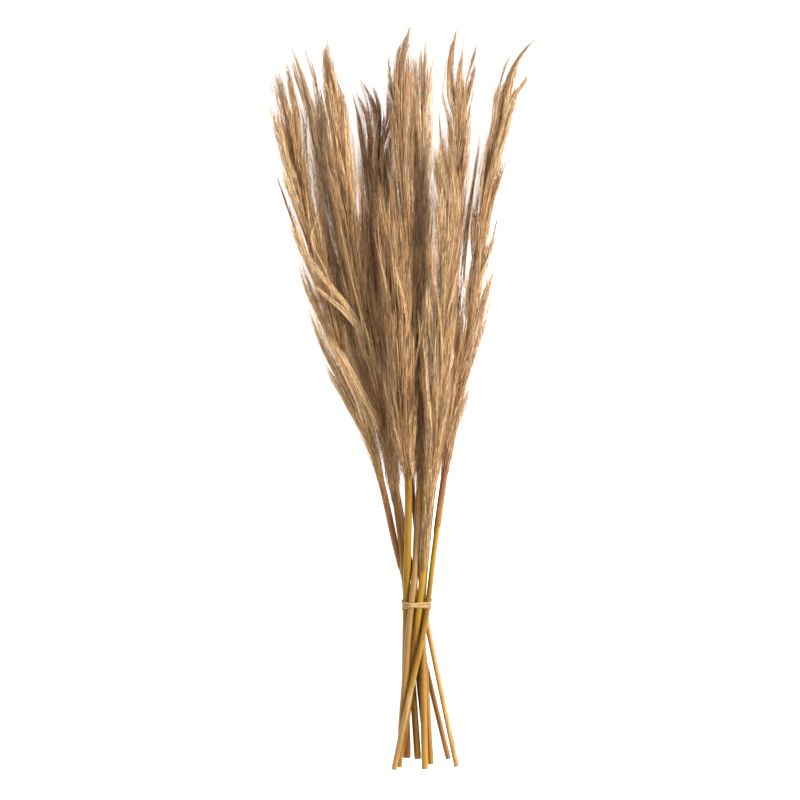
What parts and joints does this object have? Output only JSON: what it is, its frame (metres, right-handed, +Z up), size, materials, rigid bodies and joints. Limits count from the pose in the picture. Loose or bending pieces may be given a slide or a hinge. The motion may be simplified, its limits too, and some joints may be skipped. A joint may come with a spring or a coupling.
{
  "type": "bundle of pampas grass",
  "caption": "Tied bundle of dried pampas grass lying flat: straw-coloured canes crossing at a raffia tie, with long feathery tan plumes fanned out at one end.",
  "frame": {"origin": "middle of the lying bundle's footprint, on the surface that it lies on", "axes": "+Y along the bundle from the cut ends to the plume tips, +Z up from the surface, +X across the bundle"},
  "size_m": [0.2688, 0.7482, 0.0863],
  "materials": {
    "cane": "satin",
    "plume": "matte",
    "raffia": "matte"
  },
  "bodies": {
    "root": {"stem_01": "cane", "stem_02": "cane", "stem_03": "cane", "stem_04": "cane", "stem_05": "cane", "stem_06": "cane", "stem_07": "cane", "stem_08": "cane", "stem_09": "cane", "stem_10": "cane", "plume_01": "plume", "plume_02": "plume", "plume_03": "plume", "plume_04": "plume", "plume_05": "plume", "plume_06": "plume", "plume_07": "plume", "plume_08": "plume", "plume_09": "plume", "plume_10": "plume", "tie": "raffia"}
  },
  "joints": []
}
